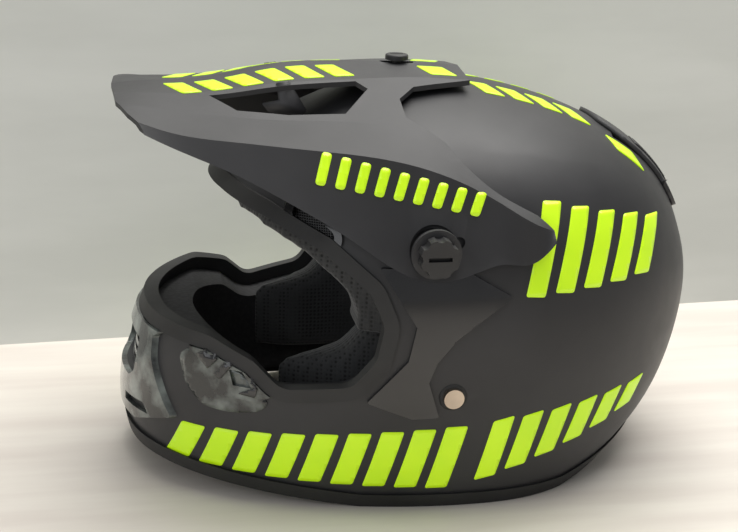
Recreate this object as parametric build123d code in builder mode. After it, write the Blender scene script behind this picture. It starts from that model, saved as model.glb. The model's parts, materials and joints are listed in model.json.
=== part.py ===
"""Off-road motorcycle helmet: shell, liner, visor, vents, retention strap and buckle.

Frame: millimetres, +Z up, the wearer faces -X and the wearer's left is -Y.
The origin lies on the floor that the rim rests on, under the shell's middle.
"""
from build123d import *
from functools import lru_cache
from math import copysign, cos, hypot, pi, sin
import os

os.makedirs("parts", exist_ok=True)

# ---------------------------------------------------------------- outer form
# Sections from the rim upwards: height, front x, rear x, half width, x of the widest point
FORM = [
    (-4, -166, 127, 108, 24),
    (20, -175, 147, 115, 24),
    (50, -176, 167, 120, 23),
    (84, -168, 177, 123, 22),
    (117, -155, 179.5, 123, 20),
    (148, -140, 172, 118, 18),
    (178, -119, 156, 107, 16),
    (202, -92, 128, 88, 14),
    (220, -60, 88, 61, 10),
    (231, -28, 46, 31, 7),
    (234, -8, 22, 12, 7),
]
CROWN_Z = FORM[-1][0]
HALF_WIDTH = max(row[3] for row in FORM)
HALF_LENGTH = 0.5 * (max(row[2] for row in FORM) - min(row[1] for row in FORM))
SQUARENESS = 2.12
SECTION_POINTS = 24

# ---------------------------------------------------------------- thicknesses and clearances
WALL = 4.0
FOAM = 28.0
COMFORT = 10.5
SEAT_GAP = 0.3
RUN_FIT = 0.08
MATCH = 0.05
REACH = 260.0

# ---------------------------------------------------------------- side outlines (x, z)
REST_FRONT = -45.0
REST_REAR = 80.0
CHIN_RISE = 15.0
NAPE_RISE = 12.0
RIM_LIP = 2.0
RIM_HEIGHT = 9.0
TRIM_SKIN = 1.7
PORT = [
    (-REACH, 178), (-120, 177), (-97, 171), (-68, 158), (-43, 137), (-35, 118),
    (-39, 97), (-53, 79), (-93, 74), (-108, 89), (-130, 98), (-REACH, 98),
]
PORT_ROUND = 14.0
PORT_LIP = 2.2
PORT_FLANGE = 6.0

# ---------------------------------------------------------------- visor
PIVOT_X = -11.0
PIVOT_Z = 160.0
VISOR_SHEET = 2.6
PIVOT_FACE = 119.4
PIVOT_PAD = 14.0
BOSS_RADIUS = 11.0
BUSH_RADIUS = 4.5
SCREW_RADIUS = 3.0
INSERT_RADIUS = 5.0
KNOB_RADIUS = 11.0
KNOB_DEPTH = 8.0
# Sections from tip to tail: x, strip height, strip half width, strip edge z,
# shelf (y, z), crease (y, z), flank foot (y, z)
VISOR = [
    (-181, 229.5, 27, 228.5, 45, 225, 57, 222.5, 61, 219.5),
    (-165, 231.5, 27, 229.5, 47, 226, 67, 221, 72, 216.5),
    (-146, 232.0, 28, 229.5, 50, 224, 77, 217, 83, 209.5),
    (-116, 235.5, 29, 231.5, 57, 222, 88, 215, 97, 199),
    (-88, 241.5, 30, 235.5, 62, 221, 94, 213, 108, 185.5),
    (-56, 243.6, 31, 237.5, 66, 221, 97, 210, 117, 167),
    (-24, 243.4, 31, 239.0, 72, 219, 101, 205, 121.5, 147),
    (4, 242.6, 31, 239.0, 76, 214, 105, 196, 122.5, 146),
    (28, 241.0, 31, 237.5, 76, 207, 110, 184, 121.5, 153),
    (58, 236.0, 31, 232.5, 76, 200, 113, 169, 119, 164),
]
WINDOW = [(-126, 33), (-42, 33), (-36, 40), (-52, 60), (-84, 58), (-112, 51)]
TAIL_EDGE = [
    (27, -20), (27, 31), (-9, 39), (-19, 49), (-18, 64), (-3, 77), (18, 93), (40, 105), (62, 114.5),
    (90, 114.5), (90, -20),
]
TOP_SCREW_RADIUS = 2.5
TOP_SLOT = 21.0
TOP_KNOB_RADIUS = 7.0

# ---------------------------------------------------------------- retention
RIVET_X = 2.7
RIVET_Z = 75.0
RIVET_RADIUS = 2.5
RIVET_HEAD = 5.8
PLATE_Y = 108.0
PLATE = 1.5
STRAP_WIDTH = 24.0
STRAP_THICK = 2.2
LOOP_Z = 21.0


# ---------------------------------------------------------------- shape helpers
def section(front, rear, half, widest):
    """Points of one horizontal section, a superellipse with its own front and rear reach."""
    points = []
    for step in range(SECTION_POINTS):
        angle = 2 * pi * step / SECTION_POINTS
        reach = front - widest if cos(angle) > 0 else rear - widest
        x = widest + reach * abs(cos(angle)) ** (2 / SQUARENESS)
        y = half * copysign(abs(sin(angle)) ** (2 / SQUARENESS), sin(angle))
        points.append((x, y))
    return points


@lru_cache(maxsize=None)
def form(inset):
    """The helmet's outer form brought in by inset, or grown where inset is negative."""
    along = (HALF_LENGTH - inset) / HALF_LENGTH
    across = (HALF_WIDTH - inset) / HALF_WIDTH
    up = (CROWN_Z - inset) / CROWN_Z
    with BuildPart() as body:
        for z, front, rear, half, widest in FORM:
            with BuildSketch(Plane.XY.offset(z * up)):
                with BuildLine():
                    ring = section(
                        widest + (front - widest) * along,
                        widest + (rear - widest) * along,
                        half * across,
                        widest,
                    )
                    Spline(*ring, periodic=True)
                make_face()
        loft()
    return body.part


@lru_cache(maxsize=None)
def layer(outer, inner):
    """The hollow layer between two insets of the outer form."""
    return form(outer) - form(inner)


def side_prism(outline, rounding=0.0, grow=0.0, start=-REACH, end=REACH):
    """A side outline (x, z) run across the helmet from y = start to y = end."""
    with BuildPart() as body:
        with BuildSketch(Plane.XZ.offset(-end)):
            with BuildLine():
                Polyline(*outline, close=True)
            make_face()
            if rounding:
                fillet(vertices(), rounding)
            if grow:
                offset(amount=grow)
        extrude(amount=end - start)
    return body.part


def plan_prism(outline, rounding=0.0, bottom=0.0, top=REACH):
    """A plan outline (x, y) run up from z = bottom to z = top."""
    with BuildPart() as body:
        with BuildSketch(Plane.XY.offset(bottom)):
            with BuildLine():
                Polyline(*outline, close=True)
            make_face()
            if rounding:
                fillet(vertices(), rounding)
        extrude(amount=top - bottom)
    return body.part


def front_prism(outline, rounding=0.0, rear=-90.0):
    """A front outline (y, z) run forward from x = rear."""
    with BuildPart() as body:
        with BuildSketch(Plane.YZ.offset(rear)):
            with BuildLine():
                Polyline(*outline, close=True)
            make_face()
            if rounding:
                fillet(vertices(), rounding)
        extrude(amount=-REACH)
    return body.part


def block(x0, x1, y0, y1, z0, z1):
    """A plain box between two corners."""
    middle = Vector((x0 + x1) / 2, (y0 + y1) / 2, (z0 + z1) / 2)
    return Pos(*middle) * Box(x1 - x0, y1 - y0, z1 - z0)


def rod(x, z, radius, start, end):
    """A round bar along Y from y = start back to y = end, with end below start."""
    with BuildPart() as body:
        with BuildSketch(Plane.XZ.offset(-start)):
            with Locations((x, z)):
                Circle(radius)
        extrude(amount=start - end)
    return body.part


def rim_prism(low, high):
    """The zone between two heights above the rim line, which rises at chin and nape."""
    chin_slope = CHIN_RISE / (FORM[2][1] - REST_FRONT)
    nape_slope = NAPE_RISE / (FORM[0][2] - REST_REAR)
    chin_end = chin_slope * (-REACH - REST_FRONT)
    nape_end = nape_slope * (REACH - REST_REAR)
    outline = [
        (-REACH, chin_end + low), (REST_FRONT, low), (REST_REAR, low), (REACH, nape_end + low),
        (REACH, nape_end + high), (REST_REAR, high), (REST_FRONT, high), (-REACH, chin_end + high),
    ]
    return side_prism(outline)


def both_sides(outline):
    """A half outline (y, z) closed by its mirror image in the middle plane."""
    return outline + [(-y, z) for y, z in reversed(outline) if y != 0]


def save_pair(left, name):
    """Write a left piece and its mirror image as the right piece."""
    right = mirror(left, about=Plane.XZ)
    for piece, side in ((left, "left"), (right, "right")):
        piece.label = f"{name}_{side}"
        export_step(piece, f"parts/{name}_{side}.step")


ABOVE = 2 * REACH

# ---------------------------------------------------------------- outer shell
MOUTH = both_sides([(0, 56), (26, 57), (32, 62), (30, 82), (0, 83)])
LOWER_SLOT = [(-50, 41), (-22, 40), (-22, 45), (-46, 47)]
BROW_SLOT_X = -74.0
BROW_SLOT_Z = 168.5
BROW_SLOT_TURN = -38.0
BROW_SLOT_LENGTH = 24.0
BROW_SLOT_HEIGHT = 9.0
EXHAUST = [(118, 203), (126, 206), (146, 190), (139, 184)]
EXHAUST_START = 9.0
EXHAUST_END = 34.0


def brow_slot(grow, outer=REACH):
    """A slanted slot above the eye port, on the left side only."""
    with BuildPart() as body:
        with BuildSketch(Plane.XZ.offset(40)):
            with Locations((BROW_SLOT_X, BROW_SLOT_Z)):
                SlotOverall(BROW_SLOT_LENGTH + 2 * grow, BROW_SLOT_HEIGHT + 2 * grow, rotation=BROW_SLOT_TURN)
        extrude(amount=outer - 40)
    return body.part


def on_both_sides(left):
    """A left tool together with its mirror image."""
    return [left, mirror(left, about=Plane.XZ)]


def trimmed(solid, keep=(), cuts=()):
    """A solid kept inside each prism of keep, less everything in cuts."""
    with BuildPart() as body:
        add(solid)
        for prism in keep:
            add(prism, mode=Mode.INTERSECT)
        if cuts:
            add(cuts, mode=Mode.SUBTRACT)
    return body.part


def raised(outset, prism, cuts=()):
    """A cover inside a prism that follows the shell and stands outset above it."""
    return trimmed(layer(-outset, -MATCH), [prism], cuts)


port = side_prism(PORT, PORT_ROUND)
mouth_opening = front_prism(MOUTH, rounding=3)
exhaust_slot = side_prism(EXHAUST, start=-EXHAUST_END, end=-EXHAUST_START)
top_boss = Pos(PIVOT_X, 0, CROWN_Z - 3) * Cylinder(6.5, 6.5, align=(Align.CENTER, Align.CENTER, Align.MIN))
shell_bosses = on_both_sides(rod(PIVOT_X, PIVOT_Z, BOSS_RADIUS, -100, -PIVOT_FACE)) + [top_boss]
shell_cuts = [form(WALL), port, rim_prism(-ABOVE, RIM_LIP), mouth_opening]
shell_cuts += on_both_sides(brow_slot(0))
shell_cuts += on_both_sides(exhaust_slot)
shell_cuts += on_both_sides(rod(PIVOT_X, PIVOT_Z, INSERT_RADIUS, -90, -130))
shell_cuts += on_both_sides(rod(RIVET_X, RIVET_Z, RIVET_RADIUS, -90, -140))
with BuildPart() as shell:
    add(form(0))
    add(shell_bosses)
    add(shell_cuts, mode=Mode.SUBTRACT)
    with Locations((PIVOT_X, 0, CROWN_Z)):
        Cylinder(TOP_SCREW_RADIUS, 40, mode=Mode.SUBTRACT)
shell.part.label = "outer_shell"
export_step(shell.part, "parts/outer_shell.step")

# ---------------------------------------------------------------- edge trims
seat = layer(-MATCH, WALL + MATCH)
base_seat = trimmed(seat, [rim_prism(RIM_LIP - MATCH, ABOVE)])
base_cuts = [rim_prism(-ABOVE, 0), rim_prism(RIM_HEIGHT, ABOVE), base_seat]
with BuildPart() as base_trim:
    add(layer(-TRIM_SKIN, WALL + TRIM_SKIN))
    add(base_cuts, mode=Mode.SUBTRACT)
base_trim.part.label = "base_trim"
export_step(base_trim.part, "parts/base_trim.step")

port_band = side_prism(PORT, PORT_ROUND, PORT_FLANGE)
port_seat = trimmed(seat, cuts=[side_prism(PORT, PORT_ROUND, -MATCH)])
port_cuts = [side_prism(PORT, PORT_ROUND, -PORT_LIP), port_seat]
with BuildPart() as port_trim:
    add(layer(-TRIM_SKIN, WALL + TRIM_SKIN))
    add(port_band, mode=Mode.INTERSECT)
    add(port_cuts, mode=Mode.SUBTRACT)
port_trim.part.label = "eye_port_trim"
export_step(port_trim.part, "parts/eye_port_trim.step")

# ---------------------------------------------------------------- energy-absorbing foam
FOAM_OUT = WALL + SEAT_GAP
FOAM_IN = WALL + FOAM
CHIN_FOAM_IN = WALL + 22.0
CHIN_REAR = -22.0
CHIN_FOAM_TOP = 94.0
PORT_CLEAR = 14.0
NECK_ROLL_TOP = 25.0
STRAP_SPACE = 26.0
STRAP_SPACE_Y = 98.0
STRAP_TURN_Y = 80.0
STRAP_TURN_Z = 42.0

foam_cuts = [
    side_prism(PORT, PORT_ROUND, PORT_CLEAR),
    rim_prism(-ABOVE, NECK_ROLL_TOP + 1),
    block(-REACH, CHIN_REAR + 1, -REACH, REACH, -40, CHIN_FOAM_TOP + 1),
]
foam_cuts += on_both_sides(
    block(RIVET_X - STRAP_SPACE, RIVET_X + STRAP_SPACE, -REACH, -STRAP_SPACE_Y, -20, RIVET_Z + STRAP_SPACE)
)
foam_cuts += on_both_sides(
    block(RIVET_X - STRAP_SPACE, RIVET_X + STRAP_SPACE, -REACH, -STRAP_TURN_Y, -20, STRAP_TURN_Z)
)
foam_cuts += on_both_sides(rod(PIVOT_X, PIVOT_Z, INSERT_RADIUS + 3, -90, -130))
with BuildPart() as crown_foam:
    add(layer(FOAM_OUT, FOAM_IN))
    add(foam_cuts, mode=Mode.SUBTRACT)
    with Locations((PIVOT_X, 0, CROWN_Z)):
        Cylinder(7, 40, mode=Mode.SUBTRACT)
crown_foam.part.label = "crown_foam"
export_step(crown_foam.part, "parts/crown_foam.step")

chin_cuts = [
    side_prism(PORT, PORT_ROUND, PORT_FLANGE + 0.4),
    rim_prism(-ABOVE, RIM_HEIGHT + 1.5),
    block(CHIN_REAR, REACH, -REACH, REACH, -40, ABOVE),
    block(-REACH, REACH, -REACH, REACH, CHIN_FOAM_TOP, ABOVE),
    mouth_opening,
]
with BuildPart() as chin_foam:
    add(layer(FOAM_OUT, CHIN_FOAM_IN))
    add(chin_cuts, mode=Mode.SUBTRACT)
chin_foam.part.label = "chin_foam"
export_step(chin_foam.part, "parts/chin_foam.step")

# ---------------------------------------------------------------- comfort padding
PAD_OUT = FOAM_IN + 0.4
PAD_IN = FOAM_IN + COMFORT
CROWN_PAD_Z = 112.0
BROW_REACH = 13.0
BROW_FOOT = 130.0

crown_pad_cuts = [
    side_prism(PORT, PORT_ROUND, PORT_CLEAR + 1),
    block(-REACH, REACH, -REACH, REACH, -40, CROWN_PAD_Z),
]
with BuildPart() as crown_pad:
    add(layer(PAD_OUT, PAD_IN))
    add(crown_pad_cuts, mode=Mode.SUBTRACT)
crown_pad.part.label = "crown_pad"
export_step(crown_pad.part, "parts/crown_pad.step")

brow_band = side_prism(PORT, PORT_ROUND, BROW_REACH)
brow_cuts = [
    side_prism(PORT, PORT_ROUND, -BROW_REACH),
    trimmed(layer(0, WALL + 10), [side_prism(PORT, PORT_ROUND, 1)]),
    block(-REACH, REACH, -REACH, REACH, -40, PORT[6][1] + 9),
    block(-REACH, PORT[7][0], -REACH, REACH, -40, BROW_FOOT),
]
with BuildPart() as brow_pad:
    add(layer(WALL + 3, PAD_IN))
    add(brow_band, mode=Mode.INTERSECT)
    add(brow_cuts, mode=Mode.SUBTRACT)
brow_pad.part.label = "brow_pad"
export_step(brow_pad.part, "parts/brow_pad.step")

CHEEK_PLAN = [(-94, -62), (-60, -54), (30, -57), (30, -150), (-94, -150)]
CHEEK_SIDE = [
    (-96, 34), (30, 34), (30, CROWN_PAD_Z - 1), (-34, 104.5), (-41, 103), (-54, 87), (-84, 82), (-96, 75),
]
cheek_pad = trimmed(form(PAD_OUT), [plan_prism(CHEEK_PLAN, 6), side_prism(CHEEK_SIDE, 3)])
save_pair(cheek_pad, "cheek_pad")

neck_cuts = [
    rim_prism(-ABOVE, RIM_HEIGHT + 1),
    rim_prism(NECK_ROLL_TOP, ABOVE),
    block(-REACH, 38, -REACH, REACH, -40, ABOVE),
]
with BuildPart() as neck_roll:
    add(layer(FOAM_OUT + 1.8, PAD_IN - 6))
    add(neck_cuts, mode=Mode.SUBTRACT)
neck_roll.part.label = "neck_roll"
export_step(neck_roll.part, "parts/neck_roll.step")

# ---------------------------------------------------------------- vents
COVER_OUTSET = 3.0
MOUTH_COVER = both_sides([(36, 33), (66, 45), (56, 62), (47, 76), (43, 88), (50, 93)])
port_margin = side_prism(PORT, PORT_ROUND, PORT_FLANGE + 0.4)
cover_cuts = [mouth_opening, port_margin] + on_both_sides(front_prism(LOWER_SLOT))
mouth_cover = raised(COVER_OUTSET, front_prism(MOUTH_COVER, 2, -100), cover_cuts)
mouth_cover.label = "mouth_vent_cover"
export_step(mouth_cover, "parts/mouth_vent_cover.step")

GRILLE_BARS = 4
GRILLE_FIRST = 60.5
GRILLE_PITCH = 5.4
GRILLE_SLOT = 2.6
grille_cuts = []
for bar in range(GRILLE_BARS):
    z = GRILLE_FIRST + GRILLE_PITCH * bar
    grille_cuts.append(block(-REACH, -90, -24, 24, z, z + GRILLE_SLOT))
mouth_grille = trimmed(layer(WALL - 1.5, WALL - 0.2), [front_prism(MOUTH, rounding=3)], grille_cuts)
mouth_grille.label = "mouth_vent_grille"
export_step(mouth_grille, "parts/mouth_vent_grille.step")

CHIN_VENT = [(-141, 92), (-134, 95), (-117, 90), (-103, 81), (-96, 72), (-106, 67), (-126, 68), (-139, 76)]
CHIN_VENT_HOLE = [(-120, 84), (-113, 84), (-108, 75), (-118, 75)]
chin_vent_cuts = [side_prism(CHIN_VENT_HOLE, end=-50), port_margin, front_prism(MOUTH_COVER, 2, -100)]
save_pair(raised(2.6, side_prism(CHIN_VENT, 1.5, end=-50), chin_vent_cuts), "chin_vent")
save_pair(raised(2.2, brow_slot(4), [brow_slot(0), port_margin]), "brow_vent")
save_pair(trimmed(layer(WALL - 2, WALL - 1), [brow_slot(-MATCH)]), "brow_vent_mesh")

SIDE_PANEL = [
    (-40, 150), (6, 150), (34, 134), (13, 119), (2, 110), (-8, 97), (-12, 85), (-5, 63), (-20, 62),
    (-46, 72), (-24, 98), (-20, 118), (-30, 134),
]
panel_cuts = [port_margin] + [rod(PIVOT_X, PIVOT_Z, BOSS_RADIUS + 0.5, -90, -140)]
save_pair(raised(2.2, side_prism(SIDE_PANEL, 1, end=-50), panel_cuts), "side_panel")

SPOILER = [(108, 196), (104, 230), (175, 230), (175, 176), (150, 176), (134, 180)]
exhaust_cover = raised(6, side_prism(SPOILER, 2, start=-47, end=47), on_both_sides(exhaust_slot))
exhaust_cover.label = "exhaust_cover"
export_step(exhaust_cover, "parts/exhaust_cover.step")
mesh_hole = side_prism(EXHAUST, grow=-MATCH, start=-EXHAUST_END + MATCH, end=-EXHAUST_START - MATCH)
save_pair(trimmed(layer(WALL - 2, WALL - 1), [mesh_hole]), "exhaust_mesh")


# ---------------------------------------------------------------- visor
def half_arch(row):
    """Half of a visor section from the middle of the strip down to the flank's foot."""
    x, top, strip_y, strip_z, shelf_y, shelf_z, crease_y, crease_z, foot_y, foot_z = row
    return [(0, top), (strip_y, strip_z), (shelf_y, shelf_z), (crease_y, crease_z), (foot_y, foot_z)]


def inner_arch(points, thickness):
    """The same half arch moved inwards by the sheet thickness, with mitred corners."""
    normals = []
    for (y0, z0), (y1, z1) in zip(points, points[1:]):
        length = hypot(y1 - y0, z1 - z0)
        normals.append(((z1 - z0) / length, -(y1 - y0) / length))
    moved = [(0, points[0][1] - thickness / abs(normals[0][1]))]
    for (y, z), (ay, az), (by, bz) in zip(points[1:], normals, normals[1:]):
        scale = thickness / (1 + ay * by + az * bz)
        moved.append((y + (ay + by) * scale, z + (az + bz) * scale))
    y, z = points[-1]
    ny, nz = normals[-1]
    moved.append((y + ny * thickness, z + nz * thickness))
    return moved


def arch_loft(thickness=0.0):
    """The solid under the visor's arch, or the space under its sheet when a thickness is given."""
    with BuildPart() as body:
        for row in VISOR:
            points = half_arch(row)
            if thickness:
                points = inner_arch(points, thickness)
                y, z = points[-1]
                points = points + [(y, z - 40)]
            with BuildSketch(Plane.YZ.offset(row[0])):
                with BuildLine():
                    Polyline(*both_sides(points), close=True)
                make_face()
        loft()
    return body.part


TIP = [(-REACH, 0), (-REACH, 120), (-157, 120), (-164, 71), (-172, 56), (-178, 38), (-180, 0)]
PAD_INNER = PIVOT_FACE + 0.8
PAD_OUTER = PAD_INNER + VISOR_SHEET
visor_cuts = [arch_loft(VISOR_SHEET), form(-2.8)]
for outline, bottom in ((WINDOW, 0), (TAIL_EDGE, 100), (TIP, 0)):
    visor_cuts += on_both_sides(plan_prism(outline, bottom=bottom))
pad_cuts = on_both_sides(rod(PIVOT_X, PIVOT_Z, PIVOT_PAD, -90, -PAD_INNER))
pad_cuts += on_both_sides(rod(PIVOT_X, PIVOT_Z, PIVOT_PAD, -PAD_OUTER, -150))
pad_cuts += on_both_sides(rod(PIVOT_X, PIVOT_Z, BUSH_RADIUS + RUN_FIT, -90, -150))
pivot_pads = on_both_sides(rod(PIVOT_X, PIVOT_Z, PIVOT_PAD, -PAD_INNER, -PAD_OUTER))
with BuildPart() as visor:
    add(arch_loft())
    add(visor_cuts, mode=Mode.SUBTRACT)
    add(pivot_pads)
    add(pad_cuts, mode=Mode.SUBTRACT)
    with BuildSketch(Plane.XY.offset(200)):
        with Locations((PIVOT_X, 0)):
            SlotOverall(TOP_SLOT, 2 * TOP_SCREW_RADIUS + 1.4)
    extrude(amount=80, mode=Mode.SUBTRACT)
visor.part.label = "visor"
export_step(visor.part, "parts/visor.step")

# ---------------------------------------------------------------- visor fasteners
INSERT_DEPTH = 13.0
WASHER = 0.5
bush_end = PAD_OUTER + 0.3
washer = rod(PIVOT_X, PIVOT_Z, BOSS_RADIUS, -PIVOT_FACE, -PIVOT_FACE - WASHER)
washer = trimmed(washer, cuts=[rod(PIVOT_X, PIVOT_Z, BUSH_RADIUS + RUN_FIT, -90, -150)])
save_pair(washer, "visor_washer")
bush = rod(PIVOT_X, PIVOT_Z, BUSH_RADIUS, -PIVOT_FACE, -bush_end)
bush = trimmed(bush, cuts=[rod(PIVOT_X, PIVOT_Z, SCREW_RADIUS + RUN_FIT, -90, -150)])
save_pair(bush, "visor_bush")
insert = rod(PIVOT_X, PIVOT_Z, INSERT_RADIUS, -PIVOT_FACE + INSERT_DEPTH, -PIVOT_FACE)
insert = trimmed(insert, cuts=[rod(PIVOT_X, PIVOT_Z, SCREW_RADIUS + RUN_FIT, -90, -150)])
save_pair(insert, "visor_insert")

KNOB_FLUTES = 8
with BuildPart() as side_screw:
    with BuildSketch(Plane.XZ.offset(bush_end + SEAT_GAP)):
        with Locations((PIVOT_X, PIVOT_Z)):
            Circle(KNOB_RADIUS)
            with PolarLocations(KNOB_RADIUS + 2, KNOB_FLUTES):
                Circle(3.4, mode=Mode.SUBTRACT)
    extrude(amount=KNOB_DEPTH)
    with BuildSketch(Plane.XZ.offset(PIVOT_FACE - INSERT_DEPTH + 1)):
        with Locations((PIVOT_X, PIVOT_Z)):
            Circle(SCREW_RADIUS)
    extrude(amount=bush_end - PIVOT_FACE + INSERT_DEPTH)
    with BuildSketch(Plane.XZ.offset(bush_end + SEAT_GAP + KNOB_DEPTH)):
        with Locations((PIVOT_X, PIVOT_Z)):
            Rectangle(13, 2.4)
    extrude(amount=-3, mode=Mode.SUBTRACT)
side_screw.part.label = "visor_screw_left"
save_pair(side_screw.part, "visor_screw")

strip_top = VISOR[6][1]
TOP_GAP = 1.0
TOP_INSERT_RADIUS = 5.0
with BuildPart() as top_screw:
    with BuildSketch(Plane.XY.offset(strip_top + TOP_GAP)):
        with Locations((PIVOT_X, 0)):
            Circle(TOP_KNOB_RADIUS)
    extrude(amount=3.2)
    fillet(top_screw.edges().group_by(Axis.Z)[-1], 1.2)
    with BuildSketch(Plane.XY.offset(CROWN_Z - 10)):
        with Locations((PIVOT_X, 0)):
            Circle(TOP_SCREW_RADIUS - RUN_FIT)
    extrude(amount=strip_top + TOP_GAP - CROWN_Z + 10.5)
    with BuildSketch(Plane.XY.offset(strip_top + TOP_GAP + 3.2)):
        with Locations((PIVOT_X, 0)):
            Rectangle(8, 1.6)
    extrude(amount=-1.4, mode=Mode.SUBTRACT)
top_screw.part.label = "visor_top_screw"
export_step(top_screw.part, "parts/visor_top_screw.step")

# ---------------------------------------------------------------- strap rivets and plates
PLATE_OUT = PLATE_Y + PLATE
RIVET_FACE = 125.2
rivet_head = trimmed(rod(RIVET_X, RIVET_Z, RIVET_HEAD, -PLATE_OUT - 2, -RIVET_FACE), cuts=[form(-MATCH)])
with BuildPart() as rivet:
    add(rivet_head)
    with BuildSketch(Plane.XZ.offset(PLATE_Y - 1.7)):
        with Locations((RIVET_X, RIVET_Z)):
            Circle(RIVET_RADIUS - RUN_FIT)
    extrude(amount=RIVET_FACE - 2.5 - PLATE_Y + 1.7)
    with BuildSketch(Plane.XZ.offset(PLATE_Y - 1.7)):
        with Locations((RIVET_X, RIVET_Z)):
            Circle(RIVET_HEAD - 0.8)
    extrude(amount=1.4)
rivet.part.label = "strap_rivet_left"
save_pair(rivet.part, "strap_rivet")

PLATE_BOTTOM = 50.0
PLATE_TOP = 84.0
PLATE_BAR = 2.9
EYE_SLOT = 4.2
EYE_SLOT_Z = PLATE_BOTTOM + PLATE_BAR + EYE_SLOT / 2
with BuildPart() as plate:
    with BuildSketch(Plane.XZ.offset(PLATE_Y)):
        with Locations((RIVET_X, (PLATE_BOTTOM + PLATE_TOP) / 2)):
            RectangleRounded(STRAP_WIDTH + 7, PLATE_TOP - PLATE_BOTTOM, 5)
        with Locations((RIVET_X, EYE_SLOT_Z)):
            RectangleRounded(STRAP_WIDTH + 1, EYE_SLOT, 1, mode=Mode.SUBTRACT)
        with Locations((RIVET_X, RIVET_Z)):
            Circle(RIVET_RADIUS, mode=Mode.SUBTRACT)
    extrude(amount=PLATE)
plate.part.label = "strap_plate_left"
save_pair(plate.part, "strap_plate")

# ---------------------------------------------------------------- top nut
with BuildPart() as top_nut:
    with BuildSketch(Plane.XY.offset(CROWN_Z - WALL - 4.8)):
        with Locations((PIVOT_X, 0)):
            RegularPolygon(TOP_INSERT_RADIUS + 1, 6)
            Circle(TOP_SCREW_RADIUS, mode=Mode.SUBTRACT)
    extrude(amount=3.6)
top_nut.part.label = "visor_top_nut"
export_step(top_nut.part, "parts/visor_top_nut.step")

# ---------------------------------------------------------------- buckle
BUCKLE_HALF = 15.0
BUCKLE_FACE = 4.5
BUCKLE_START = -50.0
BUCKLE_END = -6.0
TONGUE_HALF = 6.8
TONGUE_TIP = -34.0
TONGUE_LOW = -1.7
TONGUE_HIGH = 2.3
SLIP = 0.2
TONGUE_HEAD = (6.0, 30.0)
WEB_POCKET = 13.0
PIN_Y = -14.0
PIN_DROP = 7.2
PIN_RADIUS = 1.4
EAR_IN = 9.2
EAR_OUT = 12.0
PAWL_Y = -23.5
TOOTH_PITCH = 3.0
TOOTH_COUNT = 9
TOOTH_DEPTH = 1.4


def at_buckle(half_x, y0, y1, low, high, inner_x=0.0, side=1):
    """A box centred on the strap, or one ear of it when inner_x is given, level with the loop."""
    x0 = RIVET_X + side * inner_x if inner_x else RIVET_X - half_x
    x1 = RIVET_X + side * half_x
    return block(min(x0, x1), max(x0, x1), y0, y1, LOOP_Z + low, LOOP_Z + high)


def pin_rod(radius, half_x):
    """A bar along X on the lever's axis."""
    with BuildPart() as body:
        with BuildSketch(Plane.YZ.offset(RIVET_X - half_x)):
            with Locations((PIN_Y, LOOP_Z - PIN_DROP)):
                Circle(radius)
        extrude(amount=2 * half_x)
    return body.part


def tooth(y, depth, half_width, half_x):
    """A wedge pointing up into the tongue from its lower face."""
    low = LOOP_Z + TONGUE_LOW
    with BuildPart() as body:
        with BuildSketch(Plane.YZ.offset(RIVET_X - half_x)):
            with BuildLine():
                Polyline((y - half_width, low), (y + half_width, low), (y, low + depth), close=True)
            make_face()
        extrude(amount=2 * half_x)
    return body.part


web_gap = STRAP_THICK / 2 + SLIP
web_half = STRAP_WIDTH / 2 + SLIP
ears = [at_buckle(EAR_OUT, PIN_Y - 5, PIN_Y + 5, -PIN_DROP - 3, -BUCKLE_FACE, EAR_IN, side) for side in (-1, 1)]
buckle_cuts = [
    at_buckle(TONGUE_HALF + SLIP, TONGUE_TIP - 2, 0, TONGUE_LOW - SLIP, TONGUE_HIGH + SLIP),
    at_buckle(TONGUE_HALF - 0.8, TONGUE_TIP, PIN_Y - 4, -BUCKLE_FACE - 1, 0),
    at_buckle(web_half, BUCKLE_START - 1, BUCKLE_START + WEB_POCKET, -web_gap, web_gap),
    pin_rod(PIN_RADIUS + 0.02, EAR_OUT + 1),
]
buckle_block = at_buckle(BUCKLE_HALF, BUCKLE_START, BUCKLE_END, -BUCKLE_FACE, BUCKLE_FACE)
with BuildPart() as buckle:
    add(buckle_block)
    fillet(buckle.edges().filter_by(Axis.Z), 3)
    fillet(buckle.faces().sort_by(Axis.Z)[-1].edges(), 1.2)
    add(ears)
    add(buckle_cuts, mode=Mode.SUBTRACT)
buckle.part.label = "buckle_body"
export_step(buckle.part, "parts/buckle_body.step")

head_start, head_end = TONGUE_HEAD
teeth = [tooth(PAWL_Y + TOOTH_PITCH * (k - 2), TOOTH_DEPTH, 1.3, TONGUE_HALF) for k in range(TOOTH_COUNT)]
head_pocket = at_buckle(web_half, head_end - WEB_POCKET, head_end + 1, -web_gap, web_gap)
tongue_head = at_buckle(BUCKLE_HALF, head_start, head_end, -BUCKLE_FACE + 1, BUCKLE_FACE - 1)
tongue_blade = at_buckle(TONGUE_HALF, TONGUE_TIP, head_start + 1, TONGUE_LOW, TONGUE_HIGH)
with BuildPart() as tongue:
    add(tongue_head)
    fillet(tongue.edges().filter_by(Axis.Z), 3)
    add(tongue_blade)
    add(teeth + [head_pocket], mode=Mode.SUBTRACT)
tongue.part.label = "ratchet_tongue"
export_step(tongue.part, "parts/ratchet_tongue.step")

lever_pin = pin_rod(PIN_RADIUS, EAR_OUT + 0.6)
lever_pin.label = "lever_pin"
export_step(lever_pin, "parts/lever_pin.step")

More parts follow.
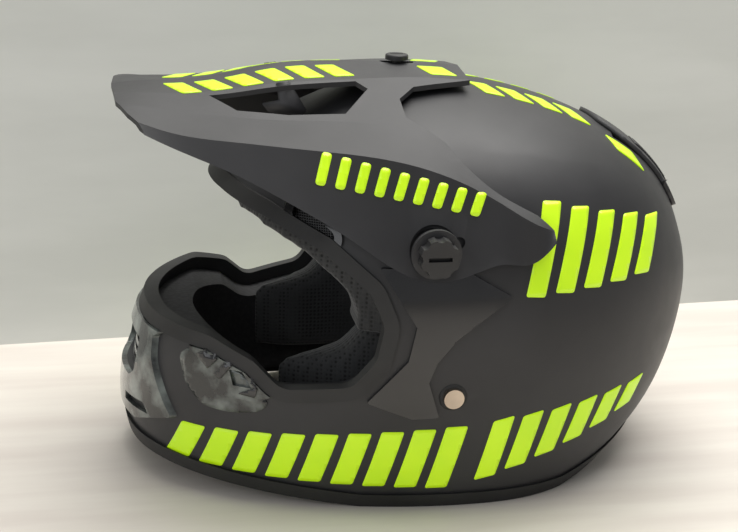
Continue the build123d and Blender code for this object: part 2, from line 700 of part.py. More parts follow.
LEVER_END = -36.0
COIL_HALF = 3.4
lever_solids = [
    at_buckle(EAR_IN - 0.3, LEVER_END, PIN_Y, -PIN_DROP - 1.5, -PIN_DROP + 0.9),
    pin_rod(2.3, EAR_IN - 0.3),
    at_buckle(5.6, PAWL_Y - 1.6, PAWL_Y + 1.6, -PIN_DROP, TONGUE_LOW - 0.3),
    tooth(PAWL_Y, TOOTH_DEPTH - 0.6, 0.6, 5.6),
    at_buckle(5.6, PAWL_Y - 0.6, PAWL_Y + 0.6, -PIN_DROP, TONGUE_LOW),
]
lever_cuts = [
    pin_rod(PIN_RADIUS + RUN_FIT, EAR_IN + 1),
    at_buckle(COIL_HALF, PIN_Y - 3.2, PIN_Y + 4, -PIN_DROP - 4, -PIN_DROP + 4),
]
with BuildPart() as lever:
    add(lever_solids)
    add(lever_cuts, mode=Mode.SUBTRACT)
lever.part.label = "release_lever"
export_step(lever.part, "parts/release_lever.step")

WIRE = 0.42
COIL_RADIUS = 2.1
COILS = 6
with BuildPart() as spring:
    for turn in range(COILS):
        x = RIVET_X + 1.9 * WIRE * (turn - (COILS - 1) / 2)
        with Locations(Location((x, PIN_Y, LOOP_Z - PIN_DROP), (0, 90, 0))):
            Torus(COIL_RADIUS, WIRE)
    for x, height in ((RIVET_X - 2, 5.05), (RIVET_X + 2, 5.05)):
        with BuildSketch(Plane.XZ.offset(-PIN_Y)):
            with Locations((x, LOOP_Z - height)):
                Circle(WIRE)
        extrude(amount=3.4 if x < RIVET_X else 6.5)
spring.part.label = "lever_spring"
export_step(spring.part, "parts/lever_spring.step")

TAB_END = -44.0
TAB_HALF = 6.0
tab_outer = at_buckle(TAB_HALF, TAB_END, LEVER_END + 4, -PIN_DROP - 2.8, -PIN_DROP + 2.0)
tab_slot = at_buckle(TAB_HALF + 1, LEVER_END - 0.2, LEVER_END + 5, -PIN_DROP - 1.7, -PIN_DROP + 1.1)
pull_tab = trimmed(tab_outer, cuts=[tab_slot])
pull_tab.label = "pull_tab"
export_step(pull_tab, "parts/pull_tab.step")

# ---------------------------------------------------------------- chin strap
LOOP_WIDE = 7.5
LOOP_TALL = 10.1
bar_y = PLATE_Y + PLATE / 2
bar_z = PLATE_BOTTOM + PLATE_BAR / 2


def strap(side, inner_end):
    """One webbing strap: sewn eye round the plate's bar, down the cheek and in to the buckle."""
    with BuildPart() as body:
        with BuildSketch(Plane.YZ.offset(RIVET_X - STRAP_WIDTH / 2)):
            with BuildLine():
                FilletPolyline(
                    (side * bar_y, bar_z - 4),
                    (side * (bar_y - 4.5), bar_z - 18),
                    (side * (bar_y - 17), LOOP_Z),
                    (inner_end, LOOP_Z),
                    radius=9,
                )
            trace(line_width=STRAP_THICK)
            with Locations((side * bar_y, bar_z + 0.1)):
                RectangleRounded(LOOP_WIDE, LOOP_TALL, 2)
                Rectangle(PLATE + 1.2, PLATE_BAR + 1.1, mode=Mode.SUBTRACT)
        extrude(amount=STRAP_WIDTH)
    return body.part


left_strap = strap(-1, BUCKLE_START + WEB_POCKET - SLIP)
left_strap.label = "chin_strap_left"
export_step(left_strap, "parts/chin_strap_left.step")
right_strap = strap(1, head_end - WEB_POCKET + SLIP)
right_strap.label = "chin_strap_right"
export_step(right_strap, "parts/chin_strap_right.step")

SLEEVE_START = -84.0
SLEEVE_END = -56.0
sleeve = at_buckle(STRAP_WIDTH / 2 + 2, SLEEVE_START, SLEEVE_END, -3.2, 3.2)
sleeve = trimmed(sleeve, cuts=[at_buckle(web_half, SLEEVE_START - 1, SLEEVE_END + 1, -web_gap, web_gap)])
save_pair(sleeve, "strap_sleeve")
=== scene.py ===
import json
from math import cos, pi, radians, sin

import bmesh
import bpy
from mathutils import Matrix, Vector
from mathutils.bvhtree import BVHTree

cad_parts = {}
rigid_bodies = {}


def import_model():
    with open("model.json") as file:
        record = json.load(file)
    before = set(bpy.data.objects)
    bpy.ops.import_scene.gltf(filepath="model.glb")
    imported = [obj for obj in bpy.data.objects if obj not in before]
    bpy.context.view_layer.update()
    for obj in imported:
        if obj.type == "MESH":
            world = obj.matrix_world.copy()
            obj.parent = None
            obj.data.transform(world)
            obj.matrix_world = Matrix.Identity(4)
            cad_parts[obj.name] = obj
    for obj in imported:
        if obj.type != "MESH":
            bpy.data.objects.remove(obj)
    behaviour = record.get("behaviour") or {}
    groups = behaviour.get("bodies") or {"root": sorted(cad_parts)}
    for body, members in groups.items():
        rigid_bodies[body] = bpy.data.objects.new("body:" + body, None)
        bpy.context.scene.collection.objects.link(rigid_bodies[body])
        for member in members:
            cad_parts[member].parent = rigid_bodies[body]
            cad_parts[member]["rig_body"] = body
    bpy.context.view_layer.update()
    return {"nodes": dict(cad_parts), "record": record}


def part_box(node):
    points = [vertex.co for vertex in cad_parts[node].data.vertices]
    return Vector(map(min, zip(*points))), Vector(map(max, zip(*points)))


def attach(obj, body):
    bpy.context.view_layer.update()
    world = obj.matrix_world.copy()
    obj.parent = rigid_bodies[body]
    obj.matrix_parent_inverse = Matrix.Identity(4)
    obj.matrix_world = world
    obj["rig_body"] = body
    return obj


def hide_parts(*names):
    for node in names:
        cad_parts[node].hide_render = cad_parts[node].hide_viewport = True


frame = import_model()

NODES = frame["nodes"]
MM = 0.001

# Sizes of the stuck-on pieces, in millimetres
VINYL_LIFT = 0.35
VINYL_DEPTH = 0.5
VINYL_ROUND = 1.5
PATCH_CELL = 3.0
CROWN_LIFT = 0.45
RIVET_RING_RADIUS = 8.2
RIVET_RING_POINTS = 24
COVER_TILT = 48
COVER_LIFT = 7.4
COVER_DEPTH = 3.4
STRUT_Y = 31
STRUT_WIDTH = 3
RAY_START_SIDE = 0.4
RAY_START_TOP = 0.5


# ------------------------------------------------------------------ materials
def new_material(name, colour, roughness, metallic=0.0, coat=0.0, coat_roughness=0.1, sheen=0.0):
    """A principled material with its constants set on the shader's own sockets."""
    material = bpy.data.materials.new(name)
    material.use_nodes = True
    shader = material.node_tree.nodes["Principled BSDF"]
    shader.inputs["Base Color"].default_value = (*colour, 1)
    shader.inputs["Roughness"].default_value = roughness
    shader.inputs["Metallic"].default_value = metallic
    shader.inputs["Coat Weight"].default_value = coat
    shader.inputs["Coat Roughness"].default_value = coat_roughness
    shader.inputs["Sheen Weight"].default_value = sheen
    return material, material.node_tree, shader


def node(tree, kind, **settings):
    made = tree.nodes.new(kind)
    for key, value in settings.items():
        if key in made.inputs:
            made.inputs[key].default_value = value
        else:
            setattr(made, key, value)
    return made


def object_noise(tree, scale, detail=4.0, stretch=(1, 1, 1)):
    """Noise in the object's own coordinates, in cycles per metre."""
    place = node(tree, "ShaderNodeTexCoord")
    mapping = node(tree, "ShaderNodeMapping")
    mapping.inputs["Scale"].default_value = stretch
    tree.links.new(place.outputs["Object"], mapping.inputs["Vector"])
    noise = node(tree, "ShaderNodeTexNoise", Scale=scale, Detail=detail)
    tree.links.new(mapping.outputs["Vector"], noise.inputs["Vector"])
    return noise.outputs["Fac"]


def ramp(tree, value, low, high, start=0.35, end=0.65):
    """A colour ramp between two colours."""
    made = node(tree, "ShaderNodeValToRGB")
    made.color_ramp.elements[0].position = start
    made.color_ramp.elements[1].position = end
    made.color_ramp.elements[0].color = (*low, 1)
    made.color_ramp.elements[1].color = (*high, 1)
    tree.links.new(value, made.inputs["Fac"])
    return made.outputs["Color"]


def add_bump(tree, shader, height, distance, strength=0.5):
    made = node(tree, "ShaderNodeBump", Strength=strength, Distance=distance)
    tree.links.new(height, made.inputs["Height"])
    tree.links.new(made.outputs["Normal"], shader.inputs["Normal"])


def spread(tree, value, low, high):
    made = node(tree, "ShaderNodeMapRange")
    made.inputs["To Min"].default_value = low
    made.inputs["To Max"].default_value = high
    tree.links.new(value, made.inputs["Value"])
    return made.outputs["Result"]


def plastic(name, colour, roughness, grain=900.0, grain_depth=0.00004, coat=0.0, vary=0.15):
    """Moulded plastic: fine grain, a slow drift of tone and roughness, and a painted highlight that makes
    convex edges paler.
    """
    material, tree, shader = new_material(name, colour, roughness, coat=coat)
    drift = object_noise(tree, 14.0)
    pale = tuple(min(1, c * (1 + 2 * vary) + 0.004) for c in colour)
    dark = tuple(c * (1 - vary) for c in colour)
    body = ramp(tree, drift, dark, pale)
    # Painted highlight: convex edges, found by pointiness, are mixed towards a paler copy of the colour.
    geometry = node(tree, "ShaderNodeNewGeometry")
    edge_highlight_mask = ramp(tree, geometry.outputs["Pointiness"], (0, 0, 0), (0.5, 0.5, 0.5), 0.56, 0.68)
    edge_highlight_mix = node(tree, "ShaderNodeMix", data_type="RGBA")
    tree.links.new(edge_highlight_mask, edge_highlight_mix.inputs[0])
    tree.links.new(body, edge_highlight_mix.inputs[6])
    edge_highlight_mix.inputs[7].default_value = (*[min(1, c * 1.9 + 0.02) for c in colour], 1)
    tree.links.new(edge_highlight_mix.outputs[2], shader.inputs["Base Color"])
    rough = spread(tree, object_noise(tree, 60.0), roughness * 0.85, min(1, roughness * 1.15))
    tree.links.new(rough, shader.inputs["Roughness"])
    add_bump(tree, shader, object_noise(tree, grain, 2.0), grain_depth)
    return material


def metal(name, colour, roughness, stretch=(1, 1, 12)):
    """Brushed or turned metal."""
    material, tree, shader = new_material(name, colour, roughness, metallic=1.0)
    lines = object_noise(tree, 700.0, 3.0, stretch)
    tree.links.new(spread(tree, lines, roughness * 0.7, roughness * 1.3), shader.inputs["Roughness"])
    dull = tuple(c * 0.8 for c in colour)
    tree.links.new(ramp(tree, object_noise(tree, 90.0), dull, colour), shader.inputs["Base Color"])
    add_bump(tree, shader, lines, 0.00002, 0.3)
    return material


def foam(name, colour):
    """Expanded bead foam: rounded cells with dark joints."""
    material, tree, shader = new_material(name, colour, 0.75)
    place = node(tree, "ShaderNodeTexCoord")
    cells = node(tree, "ShaderNodeTexVoronoi", Scale=330.0)
    tree.links.new(place.outputs["Object"], cells.inputs["Vector"])
    pale = tuple(min(1, c * 1.4) for c in colour)
    beads = ramp(tree, cells.outputs["Distance"], pale, colour, 0.2, 0.7)
    tree.links.new(beads, shader.inputs["Base Color"])
    add_bump(tree, shader, cells.outputs["Distance"], -0.0004)
    return material


def mesh_fabric(name, colour, pitch=2.6):
    """Spacer mesh: a staggered grid of small dark holes in a knitted face."""
    material, tree, shader = new_material(name, colour, 0.82, sheen=0.25)
    place = node(tree, "ShaderNodeTexCoord")
    cells = node(tree, "ShaderNodeTexVoronoi", Scale=1000.0 / pitch, Randomness=0.15)
    tree.links.new(place.outputs["Object"], cells.inputs["Vector"])
    hole = ramp(tree, cells.outputs["Distance"], (0.002, 0.002, 0.002), colour, 0.2, 0.42)
    drift = ramp(tree, object_noise(tree, 25.0), (0.75, 0.75, 0.75), (1.35, 1.35, 1.35))
    tint = node(tree, "ShaderNodeMix", data_type="RGBA", blend_type="MULTIPLY")
    tint.inputs[0].default_value = 1.0
    tree.links.new(hole, tint.inputs[6])
    tree.links.new(drift, tint.inputs[7])
    tree.links.new(tint.outputs[2], shader.inputs["Base Color"])
    add_bump(tree, shader, cells.outputs["Distance"], 0.0007, 0.8)
    return material


def webbing(name, colour):
    """Woven strap: ribs across the strap and a finer twill along it."""
    material, tree, shader = new_material(name, colour, 0.8, sheen=0.3)
    place = node(tree, "ShaderNodeTexCoord")
    ribs = node(tree, "ShaderNodeTexWave", Scale=420.0, Distortion=0.6, bands_direction="X")
    rows = node(tree, "ShaderNodeTexWave", Scale=240.0, Distortion=0.4, bands_direction="DIAGONAL")
    for wave in (ribs, rows):
        tree.links.new(place.outputs["Object"], wave.inputs["Vector"])
    both = node(tree, "ShaderNodeMath", operation="ADD")
    tree.links.new(ribs.outputs["Fac"], both.inputs[0])
    tree.links.new(rows.outputs["Fac"], both.inputs[1])
    dark = tuple(c * 0.5 for c in colour)
    tree.links.new(ramp(tree, both.outputs[0], dark, colour, 0.3, 1.0), shader.inputs["Base Color"])
    add_bump(tree, shader, both.outputs[0], 0.0003, 0.6)
    return material


def vinyl(name, colour):
    """Fluorescent sticker film, slightly uneven, with a painted glow: its emission stands in for the
    fluorescence and shines whatever light falls on it.
    """
    material, tree, shader = new_material(name, colour, 0.32, coat=0.25)
    pale = (min(1, colour[0] * 1.1), min(1, colour[1] * 1.04), colour[2] * 1.5 + 0.002)
    dull = tuple(c * 0.9 for c in colour)
    tree.links.new(ramp(tree, object_noise(tree, 22.0), dull, pale), shader.inputs["Base Color"])
    # Painted glow: the sticker emits its own colour at a fixed strength, lit or not.
    shader.inputs["Emission Color"].default_value = (*colour, 1)
    shader.inputs["Emission Strength"].default_value = 0.28
    add_bump(tree, shader, object_noise(tree, 300.0, 2.0), 0.00003, 0.3)
    return material


def film(name):
    """Clear film over gloss plastic: wrinkled, with pale mottled patches in its colour that are a painted
    reflection.
    """
    material, tree, shader = new_material(name, (0.1, 0.1, 0.1), 0.16, coat=0.5)
    # Painted reflection: pale grey-green patches mixed into the dark base colour stand in for the mottled
    # reflection on the gloss.
    painted_reflection = ramp(tree, object_noise(tree, 55.0, 6.0), (0.020, 0.022, 0.021), (0.24, 0.27, 0.25), 0.42, 0.68)
    tree.links.new(painted_reflection, shader.inputs["Base Color"])
    add_bump(tree, shader, object_noise(tree, 90.0, 3.0), 0.0010, 0.6)
    return material


def wire_mesh(name):
    """Fine woven wire."""
    material, tree, shader = new_material(name, (0.05, 0.05, 0.05), 0.45, metallic=0.8)
    place = node(tree, "ShaderNodeTexCoord")
    total = None
    for direction in ("X", "Z"):
        wave = node(tree, "ShaderNodeTexWave", Scale=260.0, bands_direction=direction)
        tree.links.new(place.outputs["Object"], wave.inputs["Vector"])
        if total is None:
            total = wave.outputs["Fac"]
        else:
            most = node(tree, "ShaderNodeMath", operation="MAXIMUM")
            tree.links.new(total, most.inputs[0])
            tree.links.new(wave.outputs["Fac"], most.inputs[1])
            total = most.outputs[0]
    wires = ramp(tree, total, (0.002, 0.002, 0.002), (0.09, 0.09, 0.09), 0.6, 0.9)
    tree.links.new(wires, shader.inputs["Base Color"])
    add_bump(tree, shader, total, 0.0005)
    return material


SHELL = plastic("shell_matte", (0.024, 0.024, 0.026), 0.46, vary=0.08)
VISOR = plastic("visor_matte", (0.024, 0.024, 0.026), 0.50, grain=1300, grain_depth=0.00006, vary=0.08)
GLOSS = plastic(
    "gloss_black", (0.012, 0.012, 0.013), 0.14, grain=300, grain_depth=0.00001, coat=0.6, vary=0.2
)
RUBBER = plastic("trim_rubber", (0.014, 0.014, 0.014), 0.62, grain=1500, grain_depth=0.00008, vary=0.2)
NYLON = plastic("nylon_black", (0.020, 0.020, 0.021), 0.42, grain=1000, grain_depth=0.00006)
FOAM = foam("eps_foam", (0.030, 0.030, 0.032))
LINING = mesh_fabric("lining_fabric", (0.030, 0.031, 0.032))
STRAP = webbing("webbing", (0.022, 0.022, 0.023))
PULL = webbing("pull_red", (0.45, 0.02, 0.02))
WIRE = wire_mesh("vent_mesh")
ALLOY = metal("rivet_alloy", (0.62, 0.52, 0.42), 0.34)
STEEL = metal("steel", (0.55, 0.55, 0.57), 0.3)
BRASS = metal("brass", (0.72, 0.53, 0.25), 0.32)
NEON = vinyl("neon_vinyl", (0.56, 0.90, 0.006))
FILM_PAINTED_REFLECTION = film("gloss_film_painted_reflection")
BY_SLOT = {
    "shell_matte": SHELL, "visor_matte": VISOR, "gloss_black": GLOSS, "trim_rubber": RUBBER,
    "nylon_black": NYLON, "eps_foam": FOAM, "lining_fabric": LINING, "webbing": STRAP,
    "pull_red": PULL, "vent_mesh": WIRE, "rivet_alloy": ALLOY, "steel": STEEL, "brass": BRASS,
}


# CAD vent nodes that take the film material, whose pale mottled colour is a painted reflection.
FILM_NODES = ("chin_vent_left", "chin_vent_right", "mouth_vent_cover")


def paint_cad_nodes():
    """Give every CAD node the material of its slot in the record."""
    for part in frame["record"]["subparts"]:
        piece = NODES[part["node"]]
        for slot in piece.material_slots:
            slot.link = "OBJECT"
            slot.material = FILM_PAINTED_REFLECTION if part["node"] in FILM_NODES else BY_SLOT[part["material_slot"]]


# ------------------------------------------------------------------ conforming pieces
def new_object(name, mesh, material, body):
    piece = bpy.data.objects.new(name, mesh)
    bpy.context.scene.collection.objects.link(piece)
    mesh.materials.append(material)
    for face in mesh.polygons:
        face.use_smooth = True
    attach(piece, body)
    return piece


def surface_of(*names):
    """A ray-casting tree over CAD nodes."""
    gathered = bmesh.new()
    for name in names:
        gathered.from_mesh(NODES[name].data)
    tree = BVHTree.FromBMesh(gathered)
    gathered.free()
    return tree


def side_ray(side):
    """Maps a side outline point (x, z) to a ray towards the helmet's middle."""
    return lambda u, v: (Vector((u, side * RAY_START_SIDE, v)), Vector((0, -side, 0)))


def top_ray(side):
    """Maps a plan outline point (x, distance from the middle) to a ray downwards."""
    return lambda u, v: (Vector((u, side * v, RAY_START_TOP)), Vector((0, 0, -1)))


def rounded(outline, radius, steps=5):
    """A polygon in millimetres with its corners rounded, in metres."""
    points = [Vector(p) * MM for p in outline]
    result = []
    count = len(points)
    for i, corner in enumerate(points):
        back = points[i - 1] - corner
        ahead = points[(i + 1) % count] - corner
        reach = min(radius * MM, 0.45 * back.length, 0.45 * ahead.length)
        start = corner + back.normalized() * reach
        end = corner + ahead.normalized() * reach
        for step in range(steps + 1):
            t = step / steps
            result.append((1 - t) ** 2 * start + 2 * t * (1 - t) * corner + t * t * end)
    return result


def diced(outline, radius, cell):
    """A flat sheet inside a rounded outline, cut into cells so that it can bend."""
    sheet = bmesh.new()
    corners = rounded(outline, radius)
    sheet.faces.new([sheet.verts.new((p.x, p.y, 0)) for p in corners])
    for axis in (0, 1):
        low = min(p[axis] for p in corners)
        high = max(p[axis] for p in corners)
        count = max(1, int((high - low) / (cell * MM)))
        for k in range(1, count + 1):
            cut = Vector((0, 0, 0))
            cut[axis] = low + (high - low) * k / (count + 1)
            normal = Vector((0, 0, 0))
            normal[axis] = 1
            everything = sheet.verts[:] + sheet.edges[:] + sheet.faces[:]
            bmesh.ops.bisect_plane(sheet, geom=everything, plane_co=cut, plane_no=normal)
    bmesh.ops.triangulate(sheet, faces=[f for f in sheet.faces if len(f.verts) > 4])
    return sheet, corners[0]


def drape(sheet, corner, ray, target, lift):
    """Lays a flat sheet over a surface, lift mm above it, with its faces turned outwards."""
    lost = []
    for vert in sheet.verts:
        start, direction = ray(vert.co.x, vert.co.y)
        place, normal, _, _ = target.ray_cast(start, direction)
        if place is None:
            lost.append(vert)
            continue
        if normal.dot(direction) > 0:
            normal = -normal
        vert.co = place + normal * lift * MM
    bmesh.ops.delete(sheet, geom=lost, context="VERTS")
    bmesh.ops.recalc_face_normals(sheet, faces=sheet.faces[:])
    middle = sum((f.normal for f in sheet.faces), Vector())
    _, inwards = ray(corner.x, corner.y)
    if middle.dot(inwards) > 0:
        bmesh.ops.reverse_faces(sheet, faces=sheet.faces[:])


def patch(
    name, outline, ray, target, material, body, slot,
    lift=VINYL_LIFT, depth=VINYL_DEPTH, radius=VINYL_ROUND, cell=PATCH_CELL,
):
    """A thin closed piece that follows a CAD surface inside an outline, its face lift mm above it."""
    sheet, corner = diced(outline, radius, cell)
    drape(sheet, corner, ray, target, lift)
    mesh = bpy.data.meshes.new(name)
    sheet.to_mesh(mesh)
    sheet.free()
    piece = new_object(name, mesh, material, body)
    thick = piece.modifiers.new("thickness", "SOLIDIFY")
    thick.thickness = depth * MM
    thick.offset = -1
    return piece


def pair(name, outline, ray_maker, target, material, body, slot, **sizes):
    """The same patch on the wearer's left (-1) and right (+1)."""
    for side, label in ((-1, "left"), (1, "right")):
        patch(f"{name}_{label}", outline, ray_maker(side), target, material, body, slot, **sizes)


def slanted_bars(start, end, height, count, gap, lean, start_height):
    """Slanted bars in a row from start to end (both at mid height), growing from start_height to height."""
    bars = []
    (x0, z0), (x1, z1) = start, end
    pitch = (x1 - x0) / count
    slope = (z1 - z0) / (x1 - x0)
    for k in range(count):
        tall = start_height + (height - start_height) * k / max(1, count - 1)
        left = x0 + pitch * k
        right = left + pitch - gap
        zl = z0 + slope * (left - x0)
        zr = z0 + slope * (right - x0)
        bars.append([
            (left - lean / 2, zl - tall / 2), (right - lean / 2, zr - tall / 2),
            (right + lean / 2, zr + tall / 2), (left + lean / 2, zl + tall / 2),
        ])
    return bars


# Neon artwork: rows of plain slanted bars, each (start, end, height, count, gap, lean, start height).
# Points are side views (x, z), or plan views (x, distance from the middle).
SIDE_ROWS = [
    ((-150, 32), (14, 35), 42, 9, 5.5, 9, 24),
    ((24, 38), (132, 62), 18, 6, 5.5, 8, 40),
    ((48, 158), (138, 150), 30, 5, 6.5, 12, 50),
]
FLANK_ROW = ((-73, 203.5), (22, 182.5), 12, 9, 5.2, 5, 16)
STRIP_ROWS = [
    ((-146, 19), (-40, 17), 18, 6, 6, 10, 20),
    ((2, 17), (22, 17), 16, 1, 4, 6, 16),
]
CROWN_ROWS = [
    ((34, 20), (106, 26), 18, 4, 6, 8, 18),
    ((114, 44), (136, 45), 12, 1, 4, 5, 12),
]
FILM_AREA = [
    (-146, 84), (-140, 90), (-128, 90), (-110, 80), (-98, 66), (-104, 60), (-120, 57), (-134, 58), (-143, 68),
]
VENT_FACETS = [
    [(-137, 89), (-131, 93), (-124, 91), (-131, 82)],
    [(-128, 79.5), (-120.5, 90), (-117, 88.5), (-124.5, 77.5)],
    [(-112, 86.5), (-104, 80), (-106, 70), (-115, 71), (-106, 76)],
]


def all_bars(rows):
    return [bar for row in rows for bar in slanted_bars(*row)]


def add_artwork(shell, visor, vent):
    for k, outline in enumerate(all_bars(SIDE_ROWS)):
        pair(f"neon_side_{k}", outline, side_ray, shell, NEON, "helmet", "shell_matte")
    for k, outline in enumerate(all_bars(CROWN_ROWS)):
        pair(f"neon_crown_{k}", outline, top_ray, shell, NEON, "helmet", "shell_matte", lift=CROWN_LIFT)
    for k, outline in enumerate(slanted_bars(*FLANK_ROW)):
        pair(f"neon_flank_{k}", outline, side_ray, visor, NEON, "visor", "visor_matte", radius=2.0)
    for k, outline in enumerate(all_bars(STRIP_ROWS)):
        pair(f"neon_strip_{k}", outline, top_ray, visor, NEON, "visor", "visor_matte")
    sizes = {"lift": 0.7, "depth": 0.9, "radius": 5}
    # The chin film sheet: its pale mottled colour is a painted reflection on the gloss chin.
    pair("chin_film", FILM_AREA, side_ray, shell, FILM_PAINTED_REFLECTION, "helmet", "gloss_black", **sizes)
    sizes = {"lift": 1.1, "depth": 1.3, "radius": 0.8, "cell": 2.0}
    for k, outline in enumerate(VENT_FACETS):
        pair(f"vent_facet_{k}", outline, side_ray, vent, GLOSS, "helmet", "gloss_black", **sizes)


def add_rivet_rings(shell):
    """A dark ring round each strap rivet."""
    for side, label in ((-1, "left"), (1, "right")):
        low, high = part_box(f"strap_rivet_{label}")
        middle = ((low[0] + high[0]) / 2 / MM, (low[2] + high[2]) / 2 / MM)
        ring = []
        for k in range(RIVET_RING_POINTS):
            angle = pi * k / 12
            x = middle[0] + RIVET_RING_RADIUS * cos(angle)
            z = middle[1] + RIVET_RING_RADIUS * sin(angle)
            ring.append((x, z))
        sizes = {"lift": 0.3, "radius": 0.5}
        patch(f"rivet_ring_{label}", ring, side_ray(side), shell, RUBBER, "helmet", "trim_rubber", **sizes)


def add_rear_cover(foam):
    """The low cover over the rear outlets, in place of the CAD one: a raised sheet with two mesh outlets.

    It is measured from the foam, whose outside runs on under the shell's outlet slots.
    """
    tilt = radians(COVER_TILT)
    along = Vector((cos(tilt), 0, -sin(tilt)))
    out = Vector((sin(tilt), 0, cos(tilt)))
    cover = [
        (-78, -18), (-60, -30), (-22, -35), (-8, -31), (-4, 0), (-8, 31), (-22, 35), (-60, 30), (-78, 18),
    ]
    rim = [(-54, 10), (-54, 24), (-24, 28), (-18, 10)]
    mesh = [(-52, 12), (-52, 22.5), (-25.5, 26), (-20, 12)]

    def aim(side):
        return lambda u, v: (along * u + out * 0.6 + Vector((0, side * v, 0)), -out)

    sizes = {"lift": COVER_LIFT, "depth": COVER_DEPTH, "radius": 6}
    piece = patch("rear_cover", cover, aim(1), foam, SHELL, "helmet", "shell_matte", **sizes)
    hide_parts("exhaust_cover")
    rim_sizes = {"lift": 8.0, "depth": 0.8, "radius": 3}
    mesh_sizes = {"lift": 8.2, "depth": 0.6, "radius": 2}
    pair("rear_outlet_frame", rim, aim, foam, GLOSS, "helmet", "gloss_black", **rim_sizes)
    pair("rear_outlet_mesh", mesh, aim, foam, WIRE, "helmet", "vent_mesh", **mesh_sizes)


def fin(name, outline, y, width, material, body):
    """A small rib: a side outline given a width across the helmet, its edges bevelled."""
    made = bmesh.new()
    near = [made.verts.new((x * MM, (y - width / 2) * MM, z * MM)) for x, z in outline]
    far = [made.verts.new((x * MM, (y + width / 2) * MM, z * MM)) for x, z in outline]
    made.faces.new(near)
    made.faces.new(far[::-1])
    for i in range(len(outline)):
        made.faces.new((near[i - 1], far[i - 1], far[i], near[i]))
    bmesh.ops.recalc_face_normals(made, faces=made.faces[:])
    bmesh.ops.bevel(made, geom=made.edges[:], offset=0.5 * MM, segments=2, affect="EDGES")
    mesh = bpy.data.meshes.new(name)
    made.to_mesh(mesh)
    made.free()
    return new_object(name, mesh, material, body)


def add_window_ribs():
    """The strut that ties the visor's strip to its shelf inside each window."""
    strut = [(-88, 236), (-80, 237), (-70, 220), (-74, 215), (-92, 219), (-96, 224), (-86, 226)]
    for side, label in ((-1, "left"), (1, "right")):
        fin(f"window_strut_{label}", strut, side * STRUT_Y, STRUT_WIDTH, VISOR, "visor")


# ------------------------------------------------------------------ padding
def soft_copy(name, node_name, voxel=4.5, shrink=0.6, smooth=6):
    """A padded piece made from a CAD pad: remeshed, smoothed and drawn in slightly."""
    source = NODES[node_name]
    piece = bpy.data.objects.new(name, source.data.copy())
    bpy.context.scene.collection.objects.link(piece)
    piece.data.materials.clear()
    piece.data.materials.append(LINING)
    remesh = piece.modifiers.new("remesh", "REMESH")
    remesh.mode = "VOXEL"
    remesh.voxel_size = voxel * MM
    apply_modifiers(piece)
    body = bmesh.new()
    body.from_mesh(piece.data)
    for _ in range(smooth):
        axes = {"use_axis_x": True, "use_axis_y": True, "use_axis_z": True}
        bmesh.ops.smooth_vert(body, verts=body.verts, factor=0.5, **axes)
    body.normal_update()
    for vert in body.verts:
        vert.co -= vert.normal * shrink * MM
    body.to_mesh(piece.data)
    body.free()
    for face in piece.data.polygons:
        face.use_smooth = True
    rounder = piece.modifiers.new("round", "SUBSURF")
    rounder.levels = 1
    rounder.render_levels = 1
    apply_modifiers(piece)
    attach(piece, source["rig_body"])
    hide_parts(node_name)
    return piece


def apply_modifiers(piece):
    bpy.context.view_layer.update()
    graph = bpy.context.evaluated_depsgraph_get()
    made = bpy.data.meshes.new_from_object(piece.evaluated_get(graph))
    piece.modifiers.clear()
    piece.data = made


# ------------------------------------------------------------------ stage
def front_only(material, tree, shader):
    """Lets a stage surface be seen through from its back, so that it never hides the object."""
    clear = node(tree, "ShaderNodeBsdfTransparent")
    geometry = node(tree, "ShaderNodeNewGeometry")
    mixed = node(tree, "ShaderNodeMixShader")
    tree.links.new(geometry.outputs["Backfacing"], mixed.inputs[0])
    tree.links.new(shader.outputs[0], mixed.inputs[1])
    tree.links.new(clear.outputs[0], mixed.inputs[2])
    tree.links.new(mixed.outputs[0], tree.nodes["Material Output"].inputs["Surface"])


def add_stage():
    floor_material, tree, shader = new_material("stage_floor", (0.6, 0.56, 0.5), 0.6)
    grain = object_noise(tree, 5.0, 6.0, (1, 9, 1))
    tree.links.new(ramp(tree, grain, (0.62, 0.57, 0.52), (0.70, 0.66, 0.60)), shader.inputs["Base Color"])
    front_only(floor_material, tree, shader)
    wall_material, tree, shader = new_material("stage_wall", (0.4, 0.4, 0.4), 0.8)
    blotches = object_noise(tree, 4.0, 6.0, (1, 1, 4))
    tree.links.new(ramp(tree, blotches, (0.33, 0.33, 0.31), (0.42, 0.42, 0.40)), shader.inputs["Base Color"])
    shader.inputs["Emission Color"].default_value = (0.98, 1.0, 0.92, 1)
    shader.inputs["Emission Strength"].default_value = 0.26
    front_only(wall_material, tree, shader)
    near, slope = 0.187, 0.057
    for name, material, corners in (
        ("floor", floor_material, [(-4, -4, 0), (4, -4, 0), (4, 4, 0), (-4, 4, 0)]),
        ("wall", wall_material, [(-3, near - 3 * slope, 0), (3, near + 3 * slope, 0),
                                 (3, near + 3 * slope, 3), (-3, near - 3 * slope, 3)]),
    ):
        mesh = bpy.data.meshes.new(name)
        mesh.from_pydata([Vector(c) for c in corners], [], [(0, 1, 2, 3)])
        mesh.materials.append(material)
        stage = bpy.data.objects.new(name, mesh)
        bpy.context.scene.collection.objects.link(stage)
        if name == "wall":
            stage.visible_shadow = False


def add_light(name, place, target, size, power, colour=(1, 1, 1)):
    data = bpy.data.lights.new(name, "AREA")
    data.size = size
    data.energy = power
    data.color = colour
    lamp = bpy.data.objects.new(name, data)
    lamp.location = place
    lamp.rotation_euler = (Vector(target) - Vector(place)).to_track_quat("-Z", "Y").to_euler()
    bpy.context.scene.collection.objects.link(lamp)


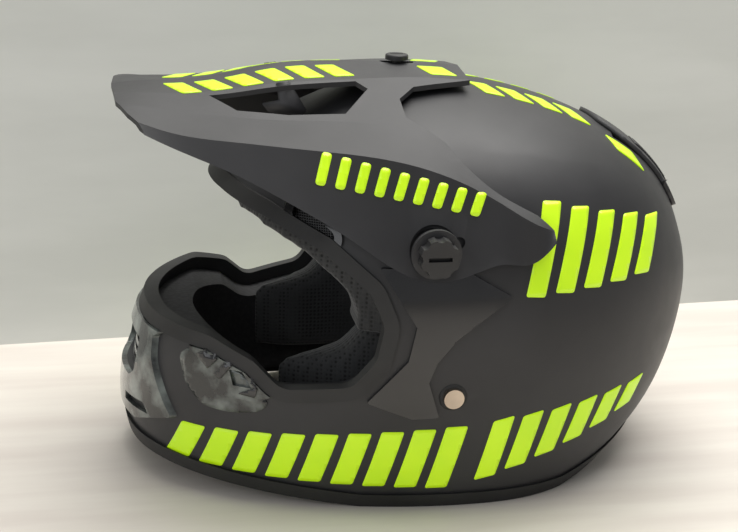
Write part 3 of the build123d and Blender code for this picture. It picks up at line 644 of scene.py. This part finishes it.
def add_camera(
    azimuth=-13.0, elevation=19.0, distance=0.85, roll=2.5, focal=64.8, shift=(-0.0488, 0.0108)
):
    """Azimuth 0 looks along +Y; the roll leans the frame as the object's rest does."""
    a, e, r = radians(azimuth), radians(elevation), radians(roll)
    back = Vector((sin(a) * cos(e), -cos(a) * cos(e), sin(e)))
    right = Vector((cos(a), sin(a), 0))
    up = back.cross(right)
    right, up = right * cos(r) + up * sin(r), up * cos(r) - right * sin(r)
    data = bpy.data.cameras.new("camera")
    data.lens = focal
    data.shift_x, data.shift_y = shift
    camera = bpy.data.objects.new("camera", data)
    place = Vector((0, 0, 0.1065)) + back * distance
    turn = Matrix((right, up, back)).transposed().to_4x4()
    camera.matrix_world = Matrix.Translation(place) @ turn
    bpy.context.scene.collection.objects.link(camera)
    bpy.context.scene.camera = camera


def add_lights():
    add_light("key", (0.25, 0.30, 1.55), (0.05, 0, 0.1), 1.4, 40, (1.0, 0.98, 0.95))
    add_light("fill", (-1.2, -1.1, 0.8), (-0.05, 0, 0.1), 1.2, 5, (0.95, 0.97, 1.0))
    world = bpy.data.worlds.new("world")
    world.use_nodes = True
    world.node_tree.nodes["Background"].inputs[0].default_value = (0.95, 0.97, 1.0, 1)
    world.node_tree.nodes["Background"].inputs[1].default_value = 0.3
    bpy.context.scene.world = world


# ------------------------------------------------------------------ build
bpy.context.scene.view_settings.view_transform = "Standard"
add_camera()
add_stage()
add_lights()
paint_cad_nodes()
shell_surface = surface_of("outer_shell")
vent_surface = surface_of("outer_shell", "chin_vent_left", "chin_vent_right")
add_artwork(shell_surface, surface_of("visor"), vent_surface)
add_rivet_rings(shell_surface)
add_rear_cover(surface_of("crown_foam"))
add_window_ribs()
for side in ("left", "right"):
    soft_copy(f"cheek_cushion_{side}", f"cheek_pad_{side}")
soft_copy("brow_cushion", "brow_pad", voxel=3.5, smooth=3)
soft_copy("crown_cushion", "crown_pad", voxel=4.0, smooth=3)
soft_copy("neck_cushion", "neck_roll", voxel=3.5, smooth=4)
